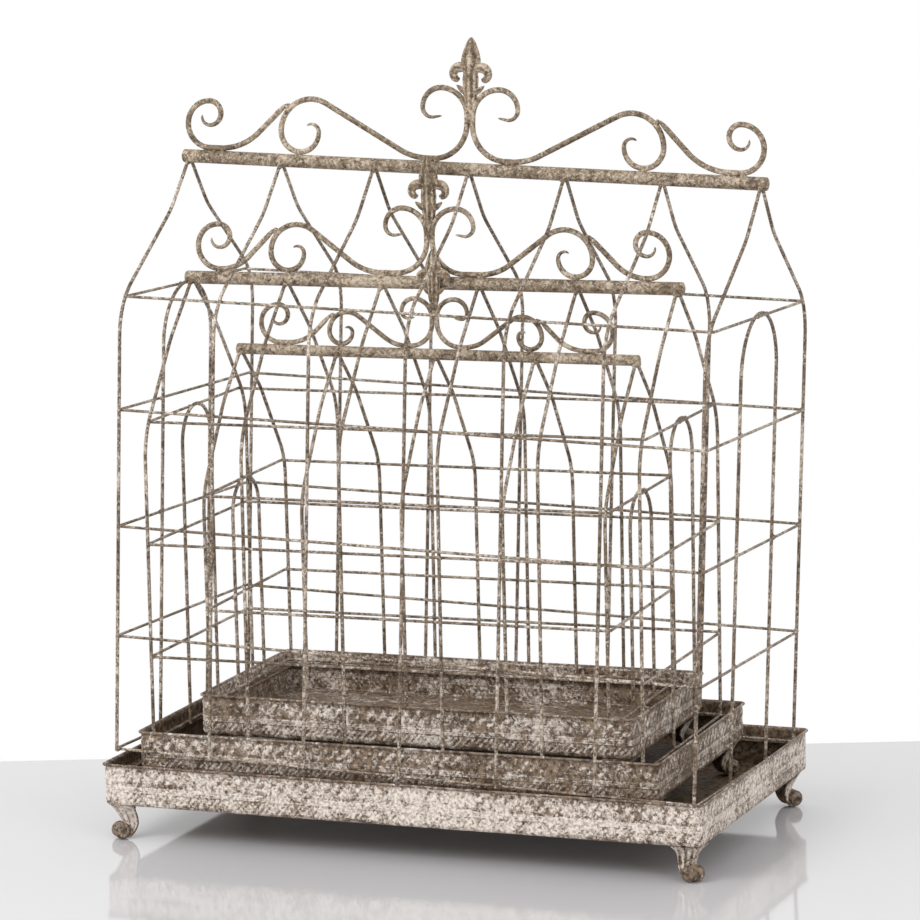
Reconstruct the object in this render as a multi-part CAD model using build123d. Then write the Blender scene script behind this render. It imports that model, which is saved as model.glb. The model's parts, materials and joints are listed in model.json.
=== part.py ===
from build123d import *
import os
from dataclasses import dataclass
from math import cos, radians, sin

# A nested set of three gable-roofed wire bird cages. Each cage lifts off its own footed
# tray, and each smaller tray stands inside the next larger one. +Z is up and +X runs along
# the ridges. The origin is on the floor, under the middle of the whole set. Millimetres.

BUDGE = 0.3            # gap between a tray's toes and the tray floor they rest on
CAGE_GAP = 0.5         # gap between a cage's lowest wire ends and the ledge
WELD = 0.1             # bite of one welded rod into the next
SHEET = 1.2            # tray sheet thickness
LIP_REACH = 3.0        # how far the tray lip stands out from the wall
LIP_HEIGHT = 2.6
LEDGE_DROP = 14.0      # inside ledge below the lip's top
LEDGE_REACH = 8.0
LEDGE_HEIGHT = 1.6
CORNER = 5.0           # tray corner radius
MIN_CORNER = 1.0
LARGE_FOOT = 35.6
MIDDLE_FOOT = 33.8
SMALL_FOOT = 32.2
MIDDLE_BASE = LARGE_FOOT + SHEET + BUDGE
SMALL_BASE = MIDDLE_BASE + MIDDLE_FOOT + SHEET + BUDGE
UPRIGHT_R = 1.75       # upright wires and end arches
RING_R = 1.4           # horizontal ring wires
RING_CORNER = 2.0
FOOT_HEAD = 30.0       # square head of a foot, flush with the tray's walls
FOOT_ROUND = 0.4       # corner radius as a part of a foot section's size
FOOT_SECTIONS = (      # part of the foot's height, square size, shift towards the corner
    (1.0, FOOT_HEAD, 0.0), (0.86, 24.0, -1.0), (0.7, 18.0, -2.6),
    (0.5, 14.0, -3.4), (0.32, 12.5, -2.6), (0.2, 11.0, -1.0))
TOE_R = 8.0            # rolled toe
TOE_WIDTH = 20.0
TOE_EDGE = 2.5         # rounding of the roll's ends
TOE_OUT = 3.2          # shift of the roll towards the corner, along X and Y
TOE_FLAT = 0.3         # depth of the flat worn under the toe
PLUG_DOME = 2.4        # height of a ridge plug's domed head
PLUG_SHANK = 6.0
FINIAL_HEIGHT = 129.0  # tip above the ridge axis that the finial's sizes are drawn at
WAVE_TURN = 45.0       # steepest slope of the outer scroll's wave, degrees


@dataclass
class Cage:
    name: str
    tray_length: float
    tray_width: float
    tray_wall: float
    tray_x: float
    tray_y: float
    tray_yaw: float
    base: float            # floor that the tray's feet stand on
    foot: float            # foot height
    length: float          # between the corner uprights' axes
    width: float
    centre_x: float
    centre_y: float
    yaw: float
    end_tilt: float        # about Y, left end up
    lean: float            # about X, front up when negative
    uprights: int          # along each long side
    ring_heights: tuple    # bottom ring first, shoulder ring last
    ridge: float           # ridge tube axis height
    ridge_length: float
    tube_r: float
    knee: tuple            # roof slope change: part of the half width, part of the roof drop
    eave: float            # height where the roof line meets the wall line
    eave_r: float
    arch_spread: float     # between the legs of an end arch
    arch_shift: tuple      # middle of the left and right end arch along Y
    bar_r: float           # crest bar
    scroll_x: float        # middle of the outer scroll from the cage's middle
    scroll_d: float
    inner_x: float         # top of the inner scroll from the cage's middle
    inner_rise: float
    crest_turn: float      # steepest slope of the inner scroll, degrees
    heart_rise: float
    finial_top: float      # tip above the ridge tube axis


def ring_level(rim, half_width=0.0, lean=0.0):
    """Axis height of a bottom ring that rests on the ledge, raised by its low side's dip."""
    return rim - LEDGE_DROP + CAGE_GAP + RING_R + half_width * sin(radians(lean))


LARGE = Cage(
    name="large", tray_length=625.0, tray_width=349.7, tray_wall=42.4,
    tray_x=0.0, tray_y=0.0, tray_yaw=0.0, base=0.0, foot=LARGE_FOOT,
    length=597.0, width=326.8, centre_x=-1.2, centre_y=-5.0,
    yaw=0.3, end_tilt=1.7, lean=-1.4, uprights=7,
    ring_heights=(79.3, 192.3, 301.4, 416.5, 526.5),
    ridge=653.6, ridge_length=607.0, tube_r=6.6,
    knee=(0.27, 0.38), eave=521.6, eave_r=60.0,
    arch_spread=116.0, arch_shift=(-4.0, 12.0),
    bar_r=2.8, scroll_x=277.0, scroll_d=46.6, inner_x=167.0, inner_rise=52.7,
    crest_turn=28.0, heart_rise=69.6, finial_top=129.0)

MIDDLE = Cage(
    name="middle", tray_length=541.0, tray_width=290.6, tray_wall=39.3,
    tray_x=-9.8, tray_y=-13.1, tray_yaw=1.0, base=MIDDLE_BASE, foot=MIDDLE_FOOT,
    length=505.2, width=260.4, centre_x=-15.0, centre_y=-13.0,
    yaw=1.5, end_tilt=0.0, lean=0.1, uprights=6,
    ring_heights=(ring_level(110.2, 130.2, 0.1), 182.7, 295.1, 415.0),
    ridge=543.7, ridge_length=515.0, tube_r=6.5,
    knee=(0.45, 0.38), eave=403.0, eave_r=70.0,
    arch_spread=73.0, arch_shift=(-3.0, 9.0),
    bar_r=2.7, scroll_x=222.5, scroll_d=44.8, inner_x=139.0, inner_rise=45.7,
    crest_turn=37.0, heart_rise=64.0, finial_top=125.0)

SMALL = Cage(
    name="small", tray_length=451.5, tray_width=233.9, tray_wall=41.2,
    tray_x=2.3, tray_y=-17.0, tray_yaw=1.1, base=SMALL_BASE, foot=SMALL_FOOT,
    length=412.3, width=212.4, centre_x=-6.8, centre_y=-16.6,
    yaw=1.2, end_tilt=0.0, lean=1.1, uprights=5,
    ring_heights=(ring_level(145.8, 106.2, 1.1), 230.4, 344.2),
    ridge=475.0, ridge_length=416.0, tube_r=5.4,
    knee=(0.45, 0.36), eave=347.5, eave_r=60.0,
    arch_spread=68.0, arch_shift=(-3.0, 8.0),
    bar_r=2.4, scroll_x=164.0, scroll_d=37.6, inner_x=91.0, inner_rise=31.7,
    crest_turn=37.0, heart_rise=47.0, finial_top=104.0)

CAGES = (LARGE, MIDDLE, SMALL)


def tray_place(cage):
    """Where a tray's own floor-centred frame stands in the set."""
    return Pos(cage.tray_x, cage.tray_y, cage.base) * Rot(0, 0, cage.tray_yaw)


def cage_place(cage):
    """Where a cage's own frame stands in the set, with its small tilt."""
    turn = Rot(0, 0, cage.yaw) * Rot(0, cage.end_tilt, 0) * Rot(cage.lean, 0, 0)
    return Pos(cage.centre_x, cage.centre_y, 0) * turn


def slab(length, width, corner, low, high):
    """A rounded rectangle plate between two heights."""
    outline = RectangleRounded(length, width, corner)
    return Pos(0, 0, low) * extrude(outline, high - low)


def wall_ring(length, width, corner, thickness, low, high):
    """A closed rounded rectangle wall, thickness measured inwards."""
    outer = slab(length, width, corner, low, high)
    inner_corner = max(corner - thickness, MIN_CORNER)
    inner = slab(length - 2 * thickness, width - 2 * thickness, inner_corner, low, high)
    return outer - inner


def tray_pan(cage):
    """One pressed sheet tray: floor, wall, rolled lip and the ledge the cage rests on."""
    length = cage.tray_length - 2 * LIP_REACH
    width = cage.tray_width - 2 * LIP_REACH
    floor = cage.foot
    top = cage.foot + cage.tray_wall
    ledge_top = top - LEDGE_DROP
    pan = slab(length, width, CORNER, floor, floor + SHEET)
    pan += wall_ring(length, width, CORNER, SHEET, floor, top)
    pan += wall_ring(cage.tray_length, cage.tray_width, CORNER + LIP_REACH, LIP_REACH + SHEET,
                     top - LIP_HEIGHT, top)
    pan += wall_ring(length, width, CORNER, SHEET + LEDGE_REACH,
                     ledge_top - LEDGE_HEIGHT, ledge_top)
    return tray_place(cage) * pan


def foot(cage, side_x, side_y):
    """A cabriole foot: square head under the tray corner, thin ankle, rolled toe turned out."""
    sections = []
    for level, size, out in FOOT_SECTIONS:
        outline = RectangleRounded(size, size, size * FOOT_ROUND)
        sections.append(Pos(out, out, level * cage.foot) * outline)
    roll = fillet(Cylinder(TOE_R, TOE_WIDTH).edges(), TOE_EDGE)
    toe = Pos(TOE_OUT, TOE_OUT, TOE_R - TOE_FLAT) * Rot(0, 0, -45) * Rot(0, 90, 0) * roll
    whole = loft(sections) + toe
    below_floor = Pos(0, 0, -TOE_R) * Box(3 * FOOT_HEAD, 3 * FOOT_HEAD, 2 * TOE_R)
    whole = (whole - below_floor).solid()
    if side_x < 0:
        whole = mirror(whole, Plane.YZ)
    if side_y < 0:
        whole = mirror(whole, Plane.XZ)
    corner_x = side_x * (cage.tray_length / 2 - LIP_REACH - FOOT_HEAD / 2)
    corner_y = side_y * (cage.tray_width / 2 - LIP_REACH - FOOT_HEAD / 2)
    return tray_place(cage) * Pos(corner_x, corner_y, 0) * whole


def rod(path, radius):
    """A round rod swept along a wire that starts and ends square to its run."""
    start = Plane(origin=path @ 0, z_dir=path % 0)
    return sweep(start * Circle(radius), path=path)


def bent_path(start, heading, moves):
    """Straight runs and tangent arcs in the XZ plane. A move is (length,) or (radius, turn)."""
    x, z = start
    edges = []
    for move in moves:
        way = radians(heading)
        if len(move) == 1:
            end_x = x + move[0] * cos(way)
            end_z = z + move[0] * sin(way)
            edges.append(Line((x, 0, z), (end_x, 0, end_z)))
        else:
            radius, turn = move
            side = 1 if turn > 0 else -1
            mid_x = x - side * radius * sin(way)
            mid_z = z + side * radius * cos(way)
            points = []
            for part in (0.5, 1.0):
                spoke = radians(heading + turn * part - side * 90)
                points.append((mid_x + radius * cos(spoke), 0, mid_z + radius * sin(spoke)))
            edges.append(ThreePointArc((x, 0, z), points[0], points[1]))
            end_x, end_z = points[1][0], points[1][2]
            heading += turn
        x, z = end_x, end_z
    return Wire(edges)


def wall_path(cage, side_y):
    """An upright's line: up the wall, over the eave and up the roof to the ridge tube."""
    half = cage.width / 2
    drop = cage.ridge - cage.eave
    knee_y = cage.knee[0] * half
    knee_z = cage.ridge - cage.knee[1] * drop
    reach = cage.tube_r - WELD
    slope = Vector(0, knee_y, knee_z - cage.ridge).normalized()
    points = [
        (0, side_y * half, cage.ring_heights[0] - RING_R),
        (0, side_y * half, cage.eave),
        (0, side_y * knee_y, knee_z),
        (0, side_y * slope.Y * reach, cage.ridge + slope.Z * reach),
    ]
    return FilletPolyline(*points, radius=[cage.eave_r, cage.eave_r * 1.6])


def side_uprights(cage, side_y):
    """The wires of one long side, evenly spaced, each in one piece from ring to ridge."""
    wire = rod(wall_path(cage, side_y), UPRIGHT_R)
    spacing = cage.length / (cage.uprights - 1)
    wires = []
    for index in range(cage.uprights):
        x = -cage.length / 2 + index * spacing
        wires.append(cage_place(cage) * Pos(x, 0, 0) * wire)
    return wires


def wall_half_width(cage, height, inset):
    """Half width of a line that stays an inset inside the uprights, at a height."""
    path = wall_path(cage, 1)
    low, high = 0.0, 1.0
    for _ in range(30):
        middle = (low + high) / 2
        if (path @ middle).Z < height:
            low = middle
        else:
            high = middle
    return (path @ low).Y - inset / (path % low).Z


def ring(cage, index):
    """One horizontal ring: inside the uprights, and round the outside of the end arches."""
    height = cage.ring_heights[index]
    inset = UPRIGHT_R + RING_R - WELD
    half_width = wall_half_width(cage, height, inset)
    outline = RectangleRounded(cage.length + 2 * RING_CORNER, 2 * half_width, RING_CORNER)
    path = Pos(0, 0, height) * outline.wire()
    return cage_place(cage) * rod(path, RING_R)


def end_arch(cage, side_x):
    """One inverted U of wire in an end panel, its top under the shoulder ring."""
    legs = cage.arch_spread / 2
    top = cage.ring_heights[-1] + UPRIGHT_R
    foot_z = cage.ring_heights[0] - RING_R
    shift = cage.arch_shift[0] if side_x < 0 else cage.arch_shift[1]
    straight = top - legs - foot_z
    path = bent_path((-legs, foot_z), 90, ((straight,), (legs, -180), (straight,)))
    arch = Rot(0, 0, 90) * rod(path, UPRIGHT_R)
    plane_x = cage.length / 2 + RING_CORNER - UPRIGHT_R - RING_R + WELD
    return cage_place(cage) * Pos(side_x * plane_x, shift, 0) * arch


def ridge_tube(cage):
    """The round tube that all the roof wires meet under."""
    tube = Rot(0, 90, 0) * (Cylinder(cage.tube_r, cage.ridge_length)
                            - Cylinder(cage.tube_r - SHEET, cage.ridge_length))
    return cage_place(cage) * Pos(0, 0, cage.ridge) * tube


def ridge_plug(cage, side_x):
    """A plug with a domed head that closes one end of the ridge tube."""
    half_space = Pos(0, 0, cage.tube_r) * Box(*[2 * cage.tube_r] * 3)
    head = scale(Sphere(cage.tube_r) & half_space, by=(1, 1, PLUG_DOME / cage.tube_r))
    shank = Pos(0, 0, -PLUG_SHANK / 2) * Cylinder(cage.tube_r - SHEET, PLUG_SHANK)
    plug = Rot(0, 90, 0) * (head + shank).solid()
    if side_x < 0:
        plug = mirror(plug, Plane.YZ)
    return cage_place(cage) * Pos(side_x * cage.ridge_length / 2, 0, cage.ridge) * plug


def both_sides(cage, piece):
    """A crest piece and its mirror image, on the ridge."""
    place = cage_place(cage) * Pos(0, 0, cage.ridge)
    return [place * piece, place * mirror(piece, Plane.YZ)]


def crest_seat(cage):
    """Height of a crest bar's axis above the ridge axis where it is welded to the tube."""
    return cage.tube_r + cage.bar_r - WELD


def inner_sizes(cage):
    """Sweep radius, top radius, straight run and inner end of the long wave scroll."""
    rise = cage.inner_rise
    sweep_r = 1.14 * rise
    top_r = 0.617 * rise
    turn = radians(cage.crest_turn)
    run = (rise - (sweep_r + top_r) * (1 - cos(turn))) / sin(turn)
    end_x = -cage.inner_x + (sweep_r + top_r) * sin(turn) + run * cos(turn)
    return sweep_r, top_r, run, end_x


def inner_scrolls(cage):
    """The long wave scrolls whose lower end hooks back onto the tube."""
    sweep_r, top_r, run, end_x = inner_sizes(cage)
    hook_r = cage.inner_rise - top_r
    moves = ((sweep_r, -cage.crest_turn), (run,), (top_r, 90 + cage.crest_turn), (hook_r, 180),
             (0.15 * cage.inner_rise, 130))
    path = bent_path((end_x, crest_seat(cage)), 180, moves)
    return both_sides(cage, rod(path, cage.bar_r))


def outer_scrolls(cage):
    """The end scrolls: a curl on the tube, then a wave up onto the inner scroll's back."""
    seat = crest_seat(cage)
    top_r = 0.617 * cage.inner_rise
    reach = top_r + 2 * cage.bar_r - WELD
    turn = radians(WAVE_TURN)
    joint_x = -cage.inner_x - reach * sin(turn)
    joint_z = seat + cage.inner_rise - top_r + reach * cos(turn)
    span = joint_x + cage.scroll_x
    wave_r = 0.72 * span
    run = (joint_z - seat - wave_r * (1 - cos(turn))) / sin(turn)
    flat = span - wave_r * sin(turn) - run * cos(turn)
    big_r = cage.scroll_d / 2
    moves = ((run,), (wave_r, -WAVE_TURN), (flat,), (big_r, -180), (big_r * 0.52, -180),
             (big_r * 0.36, -100))
    path = bent_path((joint_x, joint_z), 180 + WAVE_TURN, moves)
    return both_sides(cage, rod(path, cage.bar_r))


def heart_sizes(cage):
    """Half gap, base radius and top radius of the two C scrolls that stand back to back."""
    return cage.bar_r + BUDGE / 2, 0.5 * cage.heart_rise, 0.39 * cage.heart_rise


def heart_scrolls(cage):
    """The two C scrolls, back to back a hair apart, that carry the finial between them.
    Each runs along the tube from the end of the wave scroll before it rises."""
    rise = cage.heart_rise
    apart, base_r, top_r = heart_sizes(cage)
    start_x = inner_sizes(cage)[-1] - WELD
    moves = ((-apart - base_r - start_x,), (base_r, 90), (rise - base_r - top_r,),
             (top_r, 90), (0.28 * rise, 90), (0.14 * rise, 100), (0.13 * rise,))
    path = bent_path((start_x, crest_seat(cage)), 0, moves)
    return both_sides(cage, rod(path, cage.bar_r))


def finial_seat(cage):
    """Radius and height of the ball that sits in the V where the C scrolls part."""
    apart, _, top_r = heart_sizes(cage)
    ball = 1.4 * cage.bar_r
    reach = top_r + cage.bar_r + ball - WELD
    rise = crest_seat(cage) + cage.heart_rise - top_r
    return ball, rise + (reach ** 2 - (apart + top_r) ** 2) ** 0.5


def finial(cage):
    """A cast fleur-de-lis: ball and stem, leaf collar, two curled petals and a blade."""
    unit = cage.finial_top / FINIAL_HEIGHT
    stem_top = 84.0 * unit
    ball, seat = finial_seat(cage)
    whole = Pos(0, 0, seat) * Sphere(ball)
    whole += Pos(0, 0, seat) * extrude(Circle(cage.bar_r), stem_top - seat)
    blade_side = ((-4.2, 82), (-10.6, 106), (0, 129))
    left = ThreePointArc(*[(x * unit, 0, z * unit) for x, z in blade_side])
    right = ThreePointArc(*[(-x * unit, 0, z * unit) for x, z in reversed(blade_side)])
    outline = make_face(Wire([left, right, Line(right @ 1, left @ 0)]))
    whole += extrude(outline, 2.5 * unit, dir=(0, 1, 0), both=True)
    whole += Pos(0, 0, 85 * unit) * Cylinder(6.4 * unit, 5.0 * unit)
    petal_moves = ((9.0 * unit, -55), (7.0 * unit, -90), (4.2 * unit, -110))
    petal = rod(bent_path((3.5 * unit, 96.4 * unit), 55, petal_moves), 3.3 * unit)
    leaf_moves = ((7.5 * unit, -25), (7.0 * unit,))
    leaf = rod(bent_path((2.0 * unit, 77 * unit), 40, leaf_moves), 2.3 * unit)
    for piece in (petal, leaf):
        whole += piece
        whole += mirror(piece, Plane.YZ)
    return cage_place(cage) * Pos(0, 0, cage.ridge) * whole.solid()


def cage_nodes(cage):
    """Every node of one tray and its cage, by name."""
    nodes = {cage.name + "_tray": tray_pan(cage)}
    for word_y, side_y in (("front", -1), ("back", 1)):
        for word_x, side_x in (("left", -1), ("right", 1)):
            nodes[f"{cage.name}_foot_{word_y}_{word_x}"] = foot(cage, side_x, side_y)
        nodes[f"{cage.name}_{word_y}_uprights"] = side_uprights(cage, side_y)
    for index in range(len(cage.ring_heights)):
        word = "bottom_ring" if index == 0 else f"ring_{index}"
        nodes[f"{cage.name}_{word}"] = ring(cage, index)
    nodes[cage.name + "_left_arch"] = end_arch(cage, -1)
    nodes[cage.name + "_right_arch"] = end_arch(cage, 1)
    nodes[cage.name + "_ridge_tube"] = ridge_tube(cage)
    nodes[cage.name + "_ridge_plugs"] = [ridge_plug(cage, -1), ridge_plug(cage, 1)]
    nodes[cage.name + "_outer_scrolls"] = outer_scrolls(cage)
    nodes[cage.name + "_inner_scrolls"] = inner_scrolls(cage)
    nodes[cage.name + "_heart_scrolls"] = heart_scrolls(cage)
    nodes[cage.name + "_finial"] = finial(cage)
    return nodes


def all_nodes():
    """Every node of the set, by name, moved so that the origin is under the set's middle."""
    nodes = {}
    for cage in CAGES:
        nodes.update(cage_nodes(cage))
    groups = {}
    for name, shape in nodes.items():
        groups[name] = shape if isinstance(shape, list) else [shape]
    box = Compound(children=[solid for group in groups.values() for solid in group]).bounding_box()
    centring = Pos(-box.center().X, -box.center().Y, -box.min.Z)
    shapes = {}
    for name, group in groups.items():
        solids = [centring * piece.solid() for piece in group]
        shapes[name] = solids[0] if len(solids) == 1 else Compound(children=solids)
    return shapes


if __name__ == "__main__":
    os.makedirs("parts", exist_ok=True)
    for name, shape in all_nodes().items():
        export_step(shape, f"parts/{name}.step")
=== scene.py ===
import json
from math import cos, pi, radians, sin

import bpy
import numpy as np
from mathutils import Euler, Matrix, Vector
from mathutils.bvhtree import BVHTree
from mathutils.geometry import intersect_line_line


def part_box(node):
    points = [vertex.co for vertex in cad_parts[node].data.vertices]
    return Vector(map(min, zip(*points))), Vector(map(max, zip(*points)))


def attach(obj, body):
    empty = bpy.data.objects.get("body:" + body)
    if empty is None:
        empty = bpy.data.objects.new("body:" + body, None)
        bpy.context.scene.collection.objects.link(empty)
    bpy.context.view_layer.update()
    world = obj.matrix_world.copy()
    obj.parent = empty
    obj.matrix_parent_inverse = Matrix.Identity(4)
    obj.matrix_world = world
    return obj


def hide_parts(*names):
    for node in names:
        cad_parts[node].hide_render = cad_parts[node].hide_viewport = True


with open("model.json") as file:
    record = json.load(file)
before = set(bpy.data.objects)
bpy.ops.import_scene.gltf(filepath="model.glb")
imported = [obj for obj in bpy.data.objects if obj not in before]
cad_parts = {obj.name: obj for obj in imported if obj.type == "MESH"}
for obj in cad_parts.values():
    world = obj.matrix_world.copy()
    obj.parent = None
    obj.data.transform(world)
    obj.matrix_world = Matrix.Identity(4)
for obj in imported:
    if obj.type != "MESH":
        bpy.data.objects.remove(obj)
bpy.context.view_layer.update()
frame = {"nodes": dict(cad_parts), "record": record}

# A nested set of three wire bird cages on footed trays. The wires, rings, arches and ridge
# tubes are the frame's own nodes; the trays, feet, scrolls and finials are remade here with
# their relief, and weld beads are added where the wires meet. Local sizes are millimetres.

MM = 0.001
CAGES = ("large", "middle", "small")

# ---- named sizes, shared with the frame's design ---------------------------------------
TRAY_YAW = {"large": 0.0, "middle": 1.0, "small": 1.1}          # degrees about Z
CAGE_TURN = {                                                   # yaw, end tilt, lean
    "large": (0.3, 1.7, -1.4), "middle": (1.5, 0.0, 0.1), "small": (1.2, 0.0, 1.1)}
LIP_REACH = 3.0             # how far a tray's lip stands out from its wall
SHEET = 1.2
CORNER = 5.0                # tray corner radius
LEDGE_DROP = 14.0           # inside ledge below the lip's top
LEDGE_REACH = 8.0
FOOT_HEIGHT = {"large": 35.6, "middle": 33.8, "small": 32.2}
TUBE_R = {"large": 6.6, "middle": 6.5, "small": 5.4}
BAR_R = {"large": 2.8, "middle": 2.7, "small": 2.4}
# middles of the outer scrolls and tops of the inner scrolls from the ridge's middle, with
# the scrolls' diameters and rises
SCROLL_X = {"large": 277.0, "middle": 222.5, "small": 164.0}
SCROLL_D = {"large": 46.6, "middle": 44.8, "small": 37.6}
INNER_X = {"large": 167.0, "middle": 139.0, "small": 91.0}
INNER_RISE = {"large": 52.7, "middle": 45.7, "small": 31.7}
HEART_RISE = {"large": 69.6, "middle": 64.0, "small": 47.0}
FINIAL_TOP = {"large": 129.0, "middle": 125.0, "small": 104.0}
FINIAL_DRAWN = 129.0        # finial height that its profile below is drawn at
BAR_GAP = 0.15              # half the gap between the two C scrolls
WELD = 0.1                  # bite of one welded bar into the next
CREST_TURN = {"large": 28.0, "middle": 37.0, "small": 37.0}        # inner scroll's slope
WAVE_TURN = 45.0            # steepest slope of the outer scroll's wave

# ---- paint: how much of the whitewash is left, 0 to 1 -----------------------------------
OUTSIDE_PAINT = {"large": 0.66, "middle": 0.40, "small": 0.46}
# insides darkened partly as rust and partly as painted shade inside the trays, most in the large
# and middle trays
INSIDE_PAINT_AND_SHADE = {"large": 0.10, "middle": 0.16, "small": 0.56}
FLOOR_PAINT = {"large": 0.08, "middle": 0.12, "small": 0.44}
LIP_PAINT = 0.42
FOOT_PAINT = 0.60
TOE_PAINT = 0.20
CREST_PAINT = 0.46
RELIEF = {"large": 0.30, "middle": 1.0, "small": 1.0}           # depth of the pressed bands
EVEN_RELIEF = 0.3           # relief value of a surface that has none
RNG = np.random.default_rng(7)          # seed of the weld beads' shapes


# ---- materials -----------------------------------------------------------------------------
class Nodes:
    """A short way to write a node tree."""

    def __init__(self, name):
        self.material = bpy.data.materials.new(name)
        self.material.use_nodes = True
        self.tree = self.material.node_tree
        self.tree.nodes.clear()

    def add(self, kind, links=None, **settings):
        node = self.tree.nodes.new(kind)
        for key, value in settings.items():
            setattr(node, key, value)
        for socket, value in (links or {}).items():
            if isinstance(value, bpy.types.NodeSocket):
                self.tree.links.new(value, node.inputs[socket])
            else:
                node.inputs[socket].default_value = value
        return node.outputs[0] if node.outputs else None

    def math(self, operation, a, b, c=0.0):
        return self.add("ShaderNodeMath", {0: a, 1: b, 2: c}, operation=operation)

    def noise(self, where, scale, detail=5.0, rough=0.6, distortion=0.0):
        return self.add("ShaderNodeTexNoise", {"Vector": where, "Scale": scale, "Detail": detail,
                                               "Roughness": rough, "Distortion": distortion})

    def mix(self, factor, a, b):
        node = self.tree.nodes.new("ShaderNodeMix")
        node.data_type = "RGBA"
        for socket, value in ((node.inputs[0], factor), (node.inputs[6], a), (node.inputs[7], b)):
            if isinstance(value, bpy.types.NodeSocket):
                self.tree.links.new(value, socket)
            else:
                socket.default_value = value
        return node.outputs[2]

    def attribute(self, name):
        node = self.tree.nodes.new("ShaderNodeAttribute")
        node.attribute_name = name
        return node.outputs["Fac"]

    def ramp(self, value, low, high):
        return self.add("ShaderNodeMapRange", {0: value, 1: low, 2: high, 3: 0.0, 4: 1.0},
                        interpolation_type="SMOOTHSTEP", clamp=True)

    def object_position(self):
        return self.add("ShaderNodeTexCoord").node.outputs["Object"]


def rgb(red, green, blue):
    return (red, green, blue, 1.0)


BARE_LEVEL = 1.385          # summed noise above which the whitewash holds with no paint at all
RELIEF_LEVEL = 0.07         # added to the bare level to balance the relief's share: raised relief gets more whitewash and hollows less, partly a dry-brushed finish and partly painted highlight and shade
COVER_SHARE = 0.52          # how far a full coat of paint lowers that level


def aged_paint(name, deep, bare, wash, pale, paint, grain, contrast=0.10):
    """Whitewash worn through to brown metal, with some painted shade and highlight; the whitewash
    amount is a number or a mesh attribute's name.
    """
    n = Nodes(name)
    where = n.object_position()
    cloud = n.noise(where, 14.0, 2.0)
    patch = n.noise(where, 0.28 * grain, 4.0, 0.6, 0.4)
    fleck = n.noise(where, grain, 5.0, 0.66, 0.8)
    dust = n.noise(where, 3.2 * grain, 2.0, 0.5)
    level = n.math("MULTIPLY_ADD", patch, 0.55, fleck)
    level = n.math("MULTIPLY_ADD", cloud, 0.45, level)
    level = n.math("MULTIPLY_ADD", dust, 0.25, level)
    if isinstance(paint, str):
        # this attribute's whitewash amount is also lowered on tray insides and the ledge as
        # painted shade
        cover_and_shade = n.attribute(paint)
        raised = n.attribute("relief")
        # raised relief adds whitewash and hollows lose it: partly a dry-brushed finish, partly
        # painted highlight on raised parts and painted shade in hollows
        level = n.math("MULTIPLY_ADD", raised, 0.22, level)
        level = n.math("MULTIPLY_ADD", cover_and_shade, COVER_SHARE, level)
        threshold = BARE_LEVEL + RELIEF_LEVEL
    else:
        threshold = BARE_LEVEL - COVER_SHARE * paint
    mask = n.ramp(level, threshold - contrast, threshold + contrast)
    under = n.mix(n.ramp(n.noise(where, 0.6 * grain, 3.0), 0.38, 0.62), rgb(*deep), rgb(*bare))
    over = n.mix(n.ramp(n.noise(where, 0.9 * grain, 3.0, 0.6), 0.36, 0.60), rgb(*wash), rgb(*pale))
    colour = n.mix(mask, under, over)
    rough = n.math("MULTIPLY_ADD", mask, 0.24, 0.50)
    height = n.math("MULTIPLY_ADD", mask, 0.7, n.math("MULTIPLY", fleck, 0.8))
    height = n.math("MULTIPLY_ADD", dust, 0.5, height)
    bump = n.add("ShaderNodeBump", {"Strength": 0.75, "Distance": 0.0005, "Height": height})
    shader = n.add("ShaderNodeBsdfPrincipled", {
        "Base Color": colour, "Roughness": rough, "Normal": bump, "Specular IOR Level": 0.35})
    n.add("ShaderNodeOutputMaterial", {"Surface": shader})
    return n.material


def floor_material():
    """Plain pale acrylic sheet with a soft gloss."""
    n = Nodes("stage_floor")
    where = n.object_position()
    tone = n.mix(n.noise(where, 2.0, 1.0), rgb(0.565, 0.557, 0.570), rgb(0.605, 0.597, 0.609))
    shader = n.add("ShaderNodeBsdfPrincipled", {
        "Base Color": tone, "Roughness": 0.07, "Specular IOR Level": 0.6})
    n.add("ShaderNodeOutputMaterial", {"Surface": shader})
    return n.material


TIN = ((0.066, 0.042, 0.025), (0.235, 0.165, 0.110), (0.460, 0.370, 0.298), (0.78, 0.712, 0.650))
WIRE = ((0.065, 0.043, 0.027), (0.205, 0.144, 0.093), (0.40, 0.312, 0.230), (0.69, 0.615, 0.53))
CAST = ((0.070, 0.045, 0.026), (0.205, 0.147, 0.092), (0.325, 0.248, 0.170), (0.54, 0.455, 0.355))
PAINT_TRAY = aged_paint("whitewashed_tin", *TIN, "paint", 330.0)
PAINT_WIRE = aged_paint("speckled_wire", *WIRE, 0.42, 420.0)
PAINT_CREST = aged_paint("tan_casting", *CAST, "paint", 330.0, 0.12)
PAINT_TUBE = aged_paint("tan_tube", *CAST, 0.50, 330.0, 0.12)


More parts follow.
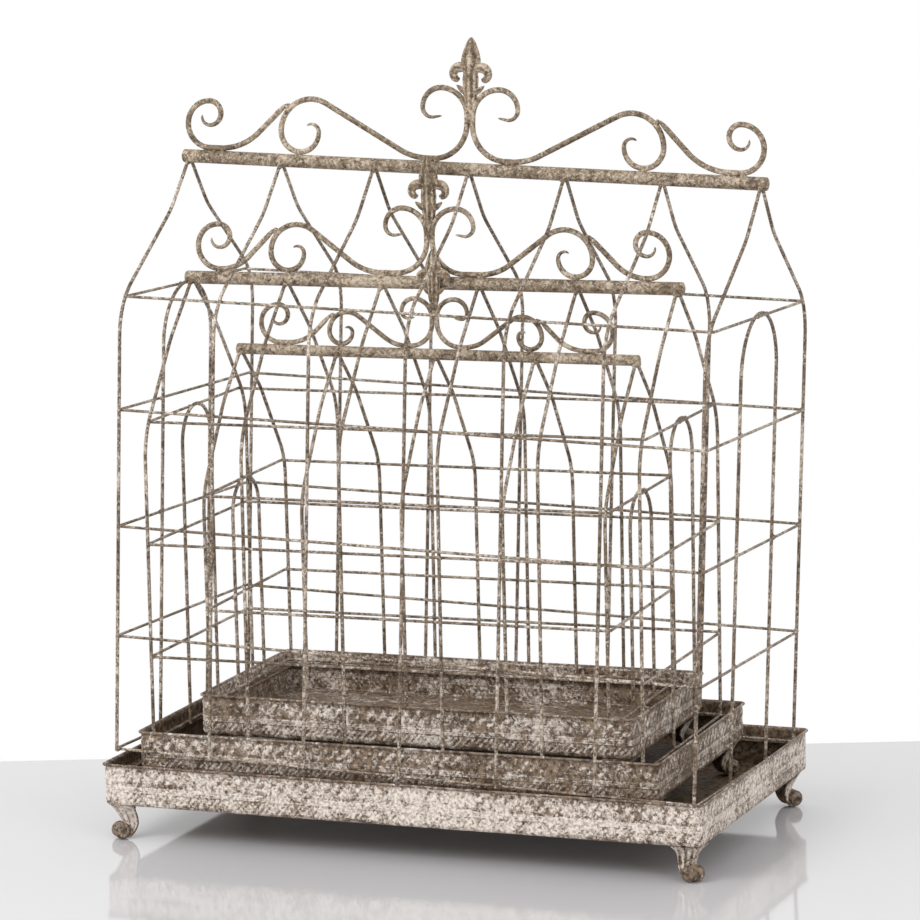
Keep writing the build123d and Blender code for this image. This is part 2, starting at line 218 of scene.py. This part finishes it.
# ---- mesh helpers -----------------------------------------------------------------------------
class Mesh:
    """Vertices and faces collected from grids, with a value per vertex for whitewash, lowered in
    places as painted shade, and one for relief.
    """

    def __init__(self):
        self.points, self.faces, self.paint, self.relief, self.count = [], [], [], [], 0

    def grid(self, points, paint, relief):
        """Rows by columns of points; the columns wrap round and both end rows are closed."""
        rows, columns = points.shape[:2]
        base = self.count
        self.points.append(points.reshape(-1, 3))
        self.paint.append(np.broadcast_to(paint, (rows, columns)).reshape(-1))
        self.relief.append(np.broadcast_to(relief, (rows, columns)).reshape(-1))
        self.count += rows * columns
        for row in range(rows - 1):
            low, high = base + row * columns, base + (row + 1) * columns
            for column in range(columns):
                after = (column + 1) % columns
                self.faces.append((low + column, low + after, high + after, high + column))
        top = base + (rows - 1) * columns
        self.faces.append(tuple(base + i for i in reversed(range(columns))))
        self.faces.append(tuple(top + i for i in range(columns)))

    def make(self, name, place, material, body, slot, replaces=()):
        """The finished piece, moved from its local millimetres to the frame."""
        local = np.concatenate(self.points) * MM
        turn = np.array(place.to_3x3())
        world = local @ turn.T + np.array(place.translation)
        data = bpy.data.meshes.new(name)
        data.from_pydata(world.tolist(), [], self.faces)
        for key, values in (("paint", self.paint), ("relief", self.relief)):
            layer = data.attributes.new(key, "FLOAT", "POINT")
            layer.data.foreach_set("value", np.concatenate(values).astype(np.float32))
        data.polygons.foreach_set("use_smooth", [len(p.vertices) < 5 for p in data.polygons])
        data.materials.append(material)
        piece = bpy.data.objects.new(name, data)
        bpy.context.scene.collection.objects.link(piece)
        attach(piece, body)
        if replaces:
            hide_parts(*replaces)
        return piece


def wander(positions, wavelength, amount, seed):
    """A smooth random line: a few sines with seeded phases."""
    draw = np.random.default_rng(seed)
    total = np.zeros_like(positions)
    for octave in (1.0, 1.9, 3.3):
        phase = draw.uniform(0, 2 * pi)
        total += np.sin(2 * pi * positions * octave / wavelength + phase) / octave
    return total * amount / 1.8


def bend(start, heading, moves, step=1.6):
    """Points of straight runs and tangent arcs. A move is (length,) or (radius, turn)."""
    x, z = start
    way = radians(heading)
    points = [(x, z)]
    for move in moves:
        turn = radians(move[1]) if len(move) > 1 else 0.0
        length = move[0] * abs(turn) if turn else move[0]
        parts = max(2, int(length / step))
        for _ in range(parts):
            middle = way + turn / parts / 2
            chord = length / parts if not turn else 2 * move[0] * sin(abs(turn) / parts / 2)
            x += chord * cos(middle)
            z += chord * sin(middle)
            way += turn / parts
            points.append((x, z))
    return np.array(points)


BAR_SIDES = 14
TIP = 0.35                  # size of a thinned tip as a part of the bar's


def bar(mesh, points, radius, taper_start, taper_end, seed):
    """A hand-worked round bar along points in the XZ plane, thinning to flat tips."""
    steps = np.linalg.norm(np.diff(points, axis=0), axis=1)
    along = np.concatenate([[0.0], np.cumsum(steps)])
    tangent = np.gradient(points, axis=0)
    tangent /= np.linalg.norm(tangent, axis=1)[:, None]
    total = along[-1]
    size = np.ones_like(along)
    for length, distance in ((taper_start, along), (taper_end, total - along)):
        if length:
            part = np.clip(distance / length, 0, 1)
            size *= TIP + (1 - TIP) * part * (2 - part)
    worked = 1 + wander(along, 17.0, 0.045, seed) + wander(along, 5.0, 0.02, seed + 1)
    rounding = 1.2 * radius
    for distance in (along, total - along):
        part = np.clip(distance / rounding, 0.0, 1.0)
        size = size * np.sqrt(np.clip(1 - (1 - part) ** 2, 0.02, 1))
    thin = radius * size * np.minimum(worked, 1.0)
    flat = radius * np.sqrt(size) * np.minimum(worked, 1.0)
    angle = np.linspace(0, 2 * pi, BAR_SIDES, endpoint=False)
    rows = np.zeros((len(points), BAR_SIDES, 3))
    rows[..., 0] = points[:, None, 0] - tangent[:, None, 1] * thin[:, None] * np.cos(angle)
    rows[..., 1] = flat[:, None] * np.sin(angle)
    rows[..., 2] = points[:, None, 1] + tangent[:, None, 0] * thin[:, None] * np.cos(angle)
    mesh.grid(rows, CREST_PAINT, EVEN_RELIEF)


def mirrored(points):
    return points * np.array([-1.0, 1.0])


# ---- trays -----------------------------------------------------------------------------------
def outline(length, width, radius, along_x, along_y, corner):
    """A rounded rectangle with a fixed number of points, and its outward normals."""
    points, normals = [], []
    counts = (along_y, along_x, along_y, along_x)
    signs = ((1, -1), (1, 1), (-1, 1), (-1, -1))
    for index, (side_x, side_y) in enumerate(signs):
        middle = np.array([side_x * (length / 2 - radius), side_y * (width / 2 - radius)])
        start = -90 + 90 * index
        for part in range(corner + 1):
            angle = radians(start + 90 * part / corner)
            normal = np.array([cos(angle), sin(angle)])
            points.append(middle + radius * normal)
            normals.append(normal)
        after = signs[(index + 1) % 4]
        target = np.array([after[0] * (length / 2 - radius), after[1] * (width / 2 - radius)])
        target = target + radius * normals[-1]
        first = points[-1]
        for part in range(1, counts[index]):
            points.append(first + (target - first) * part / counts[index])
            normals.append(normals[-1])
    return np.array(points), np.array(normals)


def bump_line(height, level, width):
    return np.exp(-((height - level) / width) ** 2)


BAND_EDGE = 0.9             # height over which a pressed band fades in and out


def band(height, low, high):
    rise = np.clip((height - low) / BAND_EDGE, 0, 1)
    fall = np.clip((high - height) / BAND_EDGE, 0, 1)
    return rise * fall


def pressed_relief(run, height, wall):
    """The pressed bands of a tray wall: leaf scrolls above, ribs, and slanted rope below."""
    leaf_low, leaf_high = 0.50 * wall, 0.90 * wall
    period = 11.5
    cell = np.floor(run / period)
    across = (run / period - cell - 0.5) * period
    up = height - (leaf_low + leaf_high) / 2
    lean = radians(52)
    long = across * cos(lean) + up * sin(lean)
    short = -across * sin(lean) + up * cos(lean) + 0.018 * long ** 2
    leaf = np.exp(-((long / 6.4) ** 4 + (short / 2.1) ** 2))
    leaf -= 0.45 * np.exp(-((long / 5.0) ** 4 + (short / 0.55) ** 2))
    second = np.exp(-(((across - 4.2) / 2.0) ** 2 + ((up - 3.6) / 2.0) ** 2))
    third = np.exp(-(((across + 4.4) / 1.9) ** 2 + ((up + 3.4) / 1.9) ** 2))
    upper = (leaf + 0.8 * second + 0.7 * third) * band(height, leaf_low, leaf_high)
    stroke = 0.5 + 0.5 * np.cos(2 * pi * (run - 0.9 * height) / 6.2)
    lower = stroke ** 1.4 * band(height, 0.10 * wall, 0.32 * wall)
    ribs = sum(bump_line(height, level * wall, 0.75) for level in (0.365, 0.415, 0.465))
    hem = bump_line(height, 0.055 * wall, 0.9) + bump_line(height, 0.935 * wall, 0.7)
    return 0.62 * upper + 0.55 * lower + 0.72 * ribs + 0.55 * hem


def tray(cage):
    """One pressed tin tray: relief walls, rolled lip, inside ledge, stepped floor."""
    low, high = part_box(cage + "_tray")
    middle = (low + high) / 2
    yaw = radians(TRAY_YAW[cage])
    size = (high - low) / MM
    round_r = CORNER + LIP_REACH
    spin = np.array([[cos(yaw), sin(yaw)], [sin(yaw), cos(yaw)]])
    inner = np.linalg.solve(spin, np.array([size.x / 2 - round_r, size.y / 2 - round_r]))
    length, width = 2 * (inner + round_r) - 2 * LIP_REACH
    wall = size.z
    pitch = 2.0 if cage == "large" else 1.35            # along the wall, between points
    counts = (int((length - 2 * CORNER) / pitch), int((width - 2 * CORNER) / pitch), 12)
    base, normal = outline(length, width, CORNER, *counts)
    gaps = np.linalg.norm(np.roll(base, -1, 0) - base, axis=1)
    run = np.concatenate([[0.0], np.cumsum(gaps)[:-1]])
    total = gaps.sum()
    dents = wander(run / total * 1400, 700.0, 0.35, 11) + wander(run, 90.0, 0.12, 12)
    depth = RELIEF[cage]

    def row(offset, height, pressed=1.0):
        """One level of the wall, offset outwards, with its share of the relief."""
        points, _ = outline(length + 2 * offset, width + 2 * offset,
                            max(CORNER + offset, 1.0), *counts)
        lift = pressed_relief(run, height, wall) * depth * pressed
        points = points + normal * lift[:, None]
        return np.column_stack([points, np.full(len(points), height)]), lift

    rows, paint_and_shade_rows, reliefs = [], [], []

    def level(offset, height, paint, pressed=0.0, wave=0.0):
        points, lift = row(offset, height, pressed)
        points[:, :2] += normal * (dents * wave)[:, None]
        points[:, 2] += np.minimum(dents * wave * 0.5, 0.0)
        rows.append(points)
        paint_and_shade_rows.append(np.full(len(points), paint))
        reliefs.append(lift / depth)

    outside, inside = OUTSIDE_PAINT[cage], INSIDE_PAINT_AND_SHADE[cage]
    turn_in = 4.0                       # rounding where the wall meets the underside
    level(-60.0, 0.0, 0.2)
    level(-turn_in - 3.0, 0.0, 0.2)
    for part in range(5):
        angle = radians(90 * part / 4)
        level(-turn_in * (1 - sin(angle)), turn_in * (1 - cos(angle)), outside)
    lip_r = 1.3
    start = turn_in + 0.8
    for height in np.arange(start, wall - 2 * lip_r - 0.3, 0.85):
        level(0.0, height, outside, 1.0)
    lip_middle = LIP_REACH - lip_r - 0.35
    for part in range(13):              # the rolled lip, from under its edge over to the inside
        angle = radians(-105 + 240 * part / 12)
        level(lip_middle + lip_r * cos(angle), wall - lip_r + lip_r * sin(angle), LIP_PAINT,
              0.0, 0.6)
    level(-SHEET + 0.5, wall - 1.4, LIP_PAINT)
    ledge = wall - LEDGE_DROP
    for height in np.arange(wall - 2.6, ledge + 0.5, -0.85):
        level(-SHEET, height, inside, 0.75)
    reach = SHEET + LEDGE_REACH
    # the ledge is painted darker, as painted shade on the shelf and in its crease
    for offset, drop in ((-SHEET - 0.4, 0.0), (-4.0, 0.0), (-reach + 0.7, 0.0), (-reach, 0.45),
                         (-reach + 0.2, 1.1), (-reach + 1.2, 1.6), (-4.0, 1.75),
                         (-SHEET - 0.4, 2.2)):
        level(offset, ledge - drop, inside * 0.6)
    # the wall below the ledge is painted darker, as painted shade under the ledge
    for height in np.arange(ledge - 3.2, SHEET + 0.8, -0.85):
        level(-SHEET, height, inside * 0.8, 0.75)
    floor = FLOOR_PAINT[cage]
    for offset, height in ((-2.2, SHEET + 0.05), (-5.0, SHEET), (-7.0, SHEET + 0.9),
                           (-9.5, SHEET + 1.0), (-10.6, SHEET + 0.35), (-12.4, SHEET + 0.35),
                           (-13.4, SHEET + 0.9), (-15.2, SHEET + 0.8), (-16.6, SHEET),
                           (-24.0, SHEET), (-60.0, SHEET)):
        level(offset, height, floor)

    mesh = Mesh()
    mesh.grid(np.array(rows), np.array(paint_and_shade_rows), np.array(reliefs))
    place = Matrix.Translation(Vector((middle.x, middle.y, low.z))) @ Matrix.Rotation(yaw, 4, "Z")
    mesh.make(cage + "_tray_pressed", place, PAINT_TRAY, cage + "_tray", "whitewashed_metal",
              (cage + "_tray",))


# ---- feet ------------------------------------------------------------------------------------
KNEE = (                                # height part, ridge out, edge out, half width
    (1.00, 15.6, -1.0, 21.5), (0.93, 13.4, -1.6, 18.6), (0.85, 11.2, -3.0, 15.2),
    (0.75, 8.6, -5.0, 12.6), (0.64, 6.0, -6.6, 11.2), (0.52, 3.8, -7.6, 10.4),
    (0.40, 2.0, -7.6, 10.0), (0.29, 0.2, -6.2, 9.6), (0.18, -0.6, -4.0, 9.2),
    (0.10, 0.6, -1.6, 8.8), (0.055, 2.6, 1.2, 8.4))
ROLL = (4.6, 8.5, 8.5)                  # rolled toe: out, height of its middle, radius
TOE_WIDTH = 20.5


def foot(cage, word, side_x, side_y):
    """A cast cabriole foot: fluted V-shaped knee, hollow behind, and a ribbed rolled toe."""
    node = f"{cage}_foot_{word}"
    low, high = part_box(node)
    yaw = radians(TRAY_YAW[cage])
    tall = FOOT_HEIGHT[cage]
    middle = (low + high) / 2
    out = Vector((side_x, side_y, 0)).normalized()
    across = Vector((-out.y, out.x, 0))
    columns = 41
    spread = np.linspace(-1, 1, columns)
    flute = 0.5 - 0.5 * np.cos(2 * pi * (np.abs(spread) * 3.0 + 0.5))
    levels = np.array(KNEE)
    fine = np.linspace(0, len(KNEE) - 1, 34)
    shape = np.column_stack([np.interp(fine, range(len(KNEE)), levels[:, i]) for i in range(4)])
    for _ in range(3):
        shape[1:-1] = (shape[:-2] + 2 * shape[1:-1] + shape[2:]) / 4
    front, back, lifts = [], [], []
    for part, ridge, edge, half in shape:
        fold = np.abs(spread) ** (1.0 + 0.5 * (1 - part))
        depth = ridge + (edge - ridge) * fold
        relief_amount = np.clip((1.0 - part) / 0.12, 0, 1) * np.clip((part - 0.2) / 0.2, 0, 1)
        lift = flute * 1.3 * relief_amount
        depth_out = depth - 1.3 * relief_amount + lift
        height = part * tall
        front.append(np.column_stack([depth_out, spread * half, np.full(columns, height)]))
        back.append(np.column_stack([depth - 3.0, spread * (half - 0.9),
                                     np.full(columns, height)]))
        lifts.append(lift / 1.3)
    shell = [np.concatenate([f, b[::-1]]) for f, b in zip(front, back)]
    paint = FOOT_PAINT - 0.25 * (1 - shape[:, :1]) ** 2
    paint = np.repeat(paint, 2 * columns, axis=1)
    paint[:, columns:] = 0.05
    relief = np.array([np.concatenate([v, np.zeros(columns)]) for v in lifts])
    mesh = Mesh()
    mesh.grid(np.array(shell), paint, relief)
    roll_out, roll_z, roll_r = ROLL
    width = TOE_WIDTH
    stations = np.linspace(-1, 1, 45)
    around = np.linspace(0, 2 * pi, 36, endpoint=False)
    ring_rows, ring_relief = [], []
    for station in stations:
        end = max(0.0, abs(station) - 0.62) / 0.38
        ribs = 0.5 + 0.5 * cos(station * pi * 4.0)
        swell = (1 - 0.62 * end ** 2.2) * (0.90 + 0.10 * ribs)
        spiral = 1.0 + 0.05 * np.cos(around - 0.6)
        radius = roll_r * swell * spiral / 1.05
        ring_rows.append(np.column_stack([roll_out + radius * np.cos(around),
                                          np.full(36, station * width / 2),
                                          roll_z + radius * np.sin(around)]))
        ring_relief.append(np.full(36, ribs * 0.6))
    # the ribs get more whitewash and the hollow ends less, partly a dry-brushed finish and partly
    # painted highlight and shade
    hollow = [(0.30, 0.985), (0.26, 0.93), (0.12, 0.90)]
    for side in (1, -1):
        dish = [np.column_stack([roll_out + roll_r * f * np.cos(around),
                                 np.full(36, side * depth * width / 2),
                                 roll_z + roll_r * f * np.sin(around)]) for f, depth in hollow]
        if side > 0:
            ring_rows += dish
            ring_relief += [np.zeros(36)] * 3
        else:
            ring_rows = dish[::-1] + ring_rows
            ring_relief = [np.zeros(36)] * 3 + ring_relief
    mesh.grid(np.array(ring_rows), TOE_PAINT, np.array(ring_relief))
    turned = Matrix.Rotation(yaw, 3, "Z")
    out, across = turned @ out, turned @ across
    place = Matrix(((out.x, across.x, 0, middle.x), (out.y, across.y, 0, middle.y),
                    (0, 0, 1, low.z), (0, 0, 0, 1)))
    mesh.make(node + "_cast", place, PAINT_TRAY, cage + "_tray", "whitewashed_metal", (node,))


# ---- crest -----------------------------------------------------------------------------------
def ridge_place(cage):
    """The ridge's own frame: its middle, with the cage's small turn."""
    low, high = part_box(cage + "_ridge_tube")
    yaw, tilt, lean = (radians(angle) for angle in CAGE_TURN[cage])
    turn = (Matrix.Rotation(yaw, 4, "Z") @ Matrix.Rotation(tilt, 4, "Y")
            @ Matrix.Rotation(lean, 4, "X"))
    return Matrix.Translation((low + high) / 2) @ turn


def scroll_piece(cage, kind, path, taper_start, taper_end, seed):
    mesh = Mesh()
    for side, points in enumerate((path, mirrored(path))):
        bar(mesh, points, BAR_R[cage], taper_start, taper_end, seed + side * 5)
    mesh.make(f"{cage}_{kind}_forged", ridge_place(cage), PAINT_CREST, cage + "_cage",
              "crest_metal", (f"{cage}_{kind}",))


def scrolls(cage, seed):
    """The crest's forged scrolls, thinned and flattened towards their free tips."""
    bar_r = BAR_R[cage]
    seat = TUBE_R[cage] + bar_r - WELD
    rise = INNER_RISE[cage]
    top_r, sweep_r = 0.617 * rise, 1.14 * rise
    slope = CREST_TURN[cage]
    turn = radians(slope)
    run = (rise - (sweep_r + top_r) * (1 - cos(turn))) / sin(turn)
    start = -INNER_X[cage] + (sweep_r + top_r) * sin(turn) + run * cos(turn)
    inner = bend((start, seat), 180, (
        (sweep_r, -slope), (run,), (top_r, 90 + slope), (rise - top_r, 180),
        (0.15 * rise, 130)))
    scroll_piece(cage, "inner_scrolls", inner, 0.0, 0.8 * rise, seed)

    reach = top_r + 2 * bar_r - WELD
    wave = radians(WAVE_TURN)
    joint_x = -INNER_X[cage] - reach * sin(wave)
    joint_z = seat + rise - top_r + reach * cos(wave)
    span = joint_x + SCROLL_X[cage]
    wave_r = 0.72 * span
    run = (joint_z - seat - wave_r * (1 - cos(wave))) / sin(wave)
    flat = span - wave_r * sin(wave) - run * cos(wave)
    big_r = SCROLL_D[cage] / 2
    outer = bend((joint_x, joint_z), 180 + WAVE_TURN, (
        (run,), (wave_r, -WAVE_TURN), (flat,), (big_r, -180), (big_r * 0.52, -180),
        (big_r * 0.36, -100)))
    scroll_piece(cage, "outer_scrolls", outer, 14.0, 1.9 * big_r, seed + 20)

    rise = HEART_RISE[cage]
    base_r, top_r = 0.5 * rise, 0.39 * rise
    heart = bend((start - 2 * bar_r, seat), 0, (
        (-bar_r - BAR_GAP - base_r - start + 2 * bar_r,), (base_r, 90),
        (rise - base_r - top_r,), (top_r, 90), (0.28 * rise, 90), (0.14 * rise, 100),
        (0.13 * rise,)))
    scroll_piece(cage, "heart_scrolls", heart, 0.0, 0.75 * rise, seed + 40)


FINIAL_BODY = (                          # height, half width, half depth
    (44, 0.9, 2.0), (50, 2.4, 3.0), (57, 4.2, 3.6), (64, 5.8, 4.2), (70, 6.6, 4.9),
    (75, 6.9, 5.2), (79, 7.9, 6.0), (82.5, 7.2, 5.5), (86, 7.8, 6.0), (90, 7.8, 5.8),
    (93, 6.9, 5.4), (97, 7.8, 5.6), (102, 9.8, 5.8), (107, 10.3, 5.8), (112, 9.2, 5.4),
    (117, 7.6, 4.8), (121, 6.0, 4.2), (125, 4.2, 3.5), (127.6, 2.6, 2.4), (129, 0.8, 0.8))


def curl(mesh, path, radii, depth, unit):
    """A tapering lobe along points in the XZ plane, flatter from front to back."""
    count = len(path)
    steps = np.linspace(0, len(radii) - 1, count)
    size = np.interp(steps, range(len(radii)), radii)
    tangent = np.gradient(path, axis=0)
    tangent /= np.linalg.norm(tangent, axis=1)[:, None]
    angle = np.linspace(0, 2 * pi, 22, endpoint=False)
    groove = 1 - 0.13 * np.exp(-(((angle % pi) - pi / 2) / 0.30) ** 2)
    rows = np.zeros((count, 22, 3))
    rows[..., 0] = path[:, None, 0] - tangent[:, None, 1] * size[:, None] * np.cos(angle)
    rows[..., 1] = depth * size[:, None] * np.sin(angle) * groove
    rows[..., 2] = path[:, None, 1] + tangent[:, None, 0] * size[:, None] * np.cos(angle)
    # the lobe's groove is given less whitewash, partly a dry-brushed finish and partly painted
    # shade
    relief = EVEN_RELIEF + 0.2 - 0.9 * np.broadcast_to((1 - groove) / 0.13, (count, 22))
    mesh.grid(rows * unit, CREST_PAINT, relief)


def finial(cage):
    """A cast fleur-de-lis: ridged blade, two curled petals, leaflets and a fluted neck."""
    unit = FINIAL_TOP[cage] / FINIAL_DRAWN
    mesh = Mesh()
    profile = np.array(FINIAL_BODY, float)
    height = np.linspace(profile[0, 0], profile[-1, 0], 110)
    half_x = np.interp(height, profile[:, 0], profile[:, 1])
    half_y = np.interp(height, profile[:, 0], profile[:, 2])
    for _ in range(6):
        half_x[1:-1] = (half_x[:-2] + 2 * half_x[1:-1] + half_x[2:]) / 4
        half_y[1:-1] = (half_y[:-2] + 2 * half_y[1:-1] + half_y[2:]) / 4
    angle = np.linspace(0, 2 * pi, 64, endpoint=False)
    rows = np.zeros((len(height), 64, 3))
    side = np.abs(np.sin(angle))
    groove = np.exp(-((side - 0.86) / 0.075) ** 2)
    blade_face = (0.62 * side ** 0.9 + 0.42 * side ** 9) * (1 - 0.42 * groove)
    relief_amount = np.zeros((len(height), 64))
    for index, level in enumerate(height):
        blade = np.clip((level - 94) / 8, 0, 1)
        flute = np.cos(8 * angle) * (1 - blade) * np.clip((level - 62) / 8, 0, 1)
        face = np.maximum(side ** 1.6 * (1 - blade) + blade * blade_face, side * 0.45)
        rows[index, :, 0] = half_x[index] * np.cos(angle) * (1 + 0.09 * flute)
        rows[index, :, 1] = half_y[index] * np.sign(np.sin(angle)) * face * (1 + 0.09 * flute)
        rows[index, :, 2] = level
        # raised flutes and the blade's ridge edge are given more whitewash and its grooves less,
        # partly a dry-brushed finish and partly painted highlight and shade
        relief_amount[index] = EVEN_RELIEF + 0.6 * flute + blade * (0.4 * (side > 0.985) - 0.8 * groove)
    mesh.grid(rows * unit, CREST_PAINT, relief_amount)
    for side in (1, -1):
        flip = np.array([side, 1.0])
        petal = bend((3.5, 95.8), 55, ((9.0, -55), (7.2, -90), (4.3, -125)), 0.4) * flip
        curl(mesh, petal, (2.6, 3.8, 4.7, 5.1, 5.1, 4.8, 4.3, 3.9, 3.7, 3.5, 0.7), 1.05, unit)
        leaf = bend((3.0, 76.2), -4, ((9.5, 42), (6.2,)), 0.3) * flip
        curl(mesh, leaf, (2.8, 3.2, 3.4, 3.1, 2.6, 2.1, 1.5, 0.5), 1.15, unit)
    mesh.make(cage + "_finial_cast", ridge_place(cage), PAINT_CREST, cage + "_cage",
              "crest_metal", (cage + "_finial",))


# ---- welds -----------------------------------------------------------------------------------
def node_tree(name):
    data = frame["nodes"][name].data
    points = [v.co.copy() for v in data.vertices]
    faces = [tuple(p.vertices) for p in data.polygons]
    return points, faces, BVHTree.FromPolygons(points, faces)


def longest_edge(points, face):
    pairs = ((face[0], face[1]), (face[1], face[2]), (face[2], face[0]))
    first, last = max(pairs, key=lambda pair: (points[pair[0]] - points[pair[1]]).length_squared)
    return points[first], points[last]


EDGES_APART = 4 * MM        # nearly parallel edges that miss each other by more don't count
OFF_SURFACE = 3 * MM
ONE_JOINT = 9 * MM          # points closer together than this are one joint


def joints_between(one, other):
    """Where two welded nodes bite into each other: one point for each joint."""
    points_a, faces_a, tree_a = one
    points_b, faces_b, tree_b = other
    centres = []
    for index_a, index_b in tree_a.overlap(tree_b):
        edge_a = longest_edge(points_a, faces_a[index_a])
        edge_b = longest_edge(points_b, faces_b[index_b])
        near = intersect_line_line(*edge_a, *edge_b)
        if near is None or (near[0] - near[1]).length > EDGES_APART:
            continue
        point = (near[0] + near[1]) / 2
        if max(tree.find_nearest(point)[3] for tree in (tree_a, tree_b)) > OFF_SURFACE:
            continue
        for entry in centres:
            if (entry[0] / entry[1] - point).length < ONE_JOINT:
                entry[0] += point
                entry[1] += 1
                break
        else:
            centres.append([point.copy(), 1])
    return [total / count for total, count in centres]


CREST_BEAD = (2.7, 3.4)     # smallest and largest radius
WIRE_BEAD = (2.0, 2.5)


def bead_shape():
    """Directions of a small sphere as a grid, from pole to pole."""
    polar = np.linspace(0.12, pi - 0.12, 9)
    around = np.linspace(0, 2 * pi, 12, endpoint=False)
    grid = np.zeros((9, 12, 3))
    grid[..., 0] = np.sin(polar)[:, None] * np.cos(around)
    grid[..., 1] = np.sin(polar)[:, None] * np.sin(around)
    grid[..., 2] = np.cos(polar)[:, None]
    return grid


def welds(cage):
    """Lumpy weld beads at every joint of one cage."""
    trees = {}
    thin, thick = Mesh(), Mesh()
    shape = bead_shape()
    for one, other in frame["record"]["behaviour"]["press_fits"]:
        if not one.startswith(cage) or "foot" in one + other or "plug" in one + other:
            continue
        for name in (one, other):
            if name not in trees:
                trees[name] = node_tree(name)
        crest = any(word in one + other for word in ("tube", "scroll", "finial"))
        for centre in joints_between(trees[one], trees[other]):
            size = RNG.uniform(*(CREST_BEAD if crest else WIRE_BEAD))
            lumps = 1 + 0.16 * np.sin(shape @ RNG.normal(0, 2.6, 3) + RNG.uniform(0, 6))
            stretch = RNG.uniform(0.85, 1.15, 3)
            points = shape * lumps[..., None] * stretch * size + np.array(centre) / MM
            (thick if crest else thin).grid(points, CREST_PAINT, EVEN_RELIEF)
    still = Matrix.Identity(4)
    thin.make(cage + "_wire_welds", still, PAINT_WIRE, cage + "_cage", "wire_metal")
    thick.make(cage + "_crest_welds", still, PAINT_CREST, cage + "_cage", "crest_metal")


# ---- the object ------------------------------------------------------------------------------
for number, name in enumerate(CAGES):
    tray(name)
    for word_y, sign_y in (("front", -1), ("back", 1)):
        for word_x, sign_x in (("left", -1), ("right", 1)):
            foot(name, f"{word_y}_{word_x}", sign_x, sign_y)
    scrolls(name, 100 * (number + 1))
    finial(name)
    welds(name)

for name, node in frame["nodes"].items():
    wire = any(word in name for word in ("upright", "ring", "arch"))
    node.data.materials.clear()
    node.data.materials.append(PAINT_WIRE if wire else PAINT_TUBE)
    for face in node.data.polygons:
        face.use_smooth = True

# ---- stage: floor, light, camera ---------------------------------------------------------------
TRAY_LOW, TRAY_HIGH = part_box("large_tray")
TRAY_MIDDLE = (TRAY_LOW + TRAY_HIGH) / 2
CENTRE_SHIFT = 0.0072
CENTRE_HEIGHT = 0.3765
CENTRE = Vector((TRAY_MIDDLE.x + CENTRE_SHIFT, TRAY_MIDDLE.y, CENTRE_HEIGHT))
CAMERA_AZIMUTH = radians(21.21)
CAMERA_HEIGHT = radians(9.02)
CAMERA_ROLL = radians(-1.09)
CAMERA_DISTANCE = 4.4998
LENS = 178.58
AIM_DROP = 0.0098                             # how far below CENTRE the camera aims
FLOOR_BEHIND = 0.320                          # from the set's middle to the floor's far edge
FLOOR_NEAR = -4.0
FLOOR_SIDE = 5.0
FLOOR_TURN = radians(22.0)


def floor_sheet():
    data = bpy.data.meshes.new("floor")
    corners = [(-FLOOR_SIDE, FLOOR_NEAR, 0), (FLOOR_SIDE, FLOOR_NEAR, 0),
               (FLOOR_SIDE, FLOOR_BEHIND, 0), (-FLOOR_SIDE, FLOOR_BEHIND, 0)]
    turn = Matrix.Rotation(FLOOR_TURN, 4, "Z")
    data.from_pydata([tuple(turn @ Vector(c)) for c in corners], [], [(0, 1, 2, 3)])
    data.materials.append(floor_material())
    sheet = bpy.data.objects.new("floor", data)
    bpy.context.scene.collection.objects.link(sheet)


def soft_light(name, where, size, power):
    data = bpy.data.lights.new(name, "AREA")
    data.shape = "RECTANGLE"
    data.size, data.size_y = size
    data.energy = power
    light = bpy.data.objects.new(name, data)
    light.location = where
    light.rotation_euler = (CENTRE - Vector(where)).to_track_quat("-Z", "Y").to_euler()
    bpy.context.scene.collection.objects.link(light)


def camera():
    back = Vector((sin(CAMERA_AZIMUTH) * cos(CAMERA_HEIGHT),
                   -cos(CAMERA_AZIMUTH) * cos(CAMERA_HEIGHT), sin(CAMERA_HEIGHT)))
    eye = CENTRE + back * CAMERA_DISTANCE
    look = CENTRE - Vector((0, 0, AIM_DROP)) - eye
    turn = look.to_track_quat("-Z", "Y").to_matrix() @ Euler((0, 0, CAMERA_ROLL)).to_matrix()
    data = bpy.data.cameras.new("camera")
    data.lens = LENS
    data.sensor_width = 36.0
    data.clip_end = 50.0
    seat = bpy.data.objects.new("camera", data)
    seat.matrix_world = Matrix.Translation(eye) @ turn.to_4x4()
    bpy.context.scene.collection.objects.link(seat)
    bpy.context.scene.camera = seat


camera()
floor_sheet()
soft_light("key", (-1.6, -2.6, 2.4), (2.2, 1.6), 62.0)
soft_light("fill", (2.8, -1.6, 1.5), (1.6, 1.6), 18.0)
world = bpy.data.worlds.new("studio")
world.use_nodes = True
world.node_tree.nodes["Background"].inputs["Color"].default_value = (1.0, 1.0, 1.0, 1.0)
world.node_tree.nodes["Background"].inputs["Strength"].default_value = 1.0
bpy.context.scene.world = world
bpy.context.scene.view_settings.view_transform = "Standard"
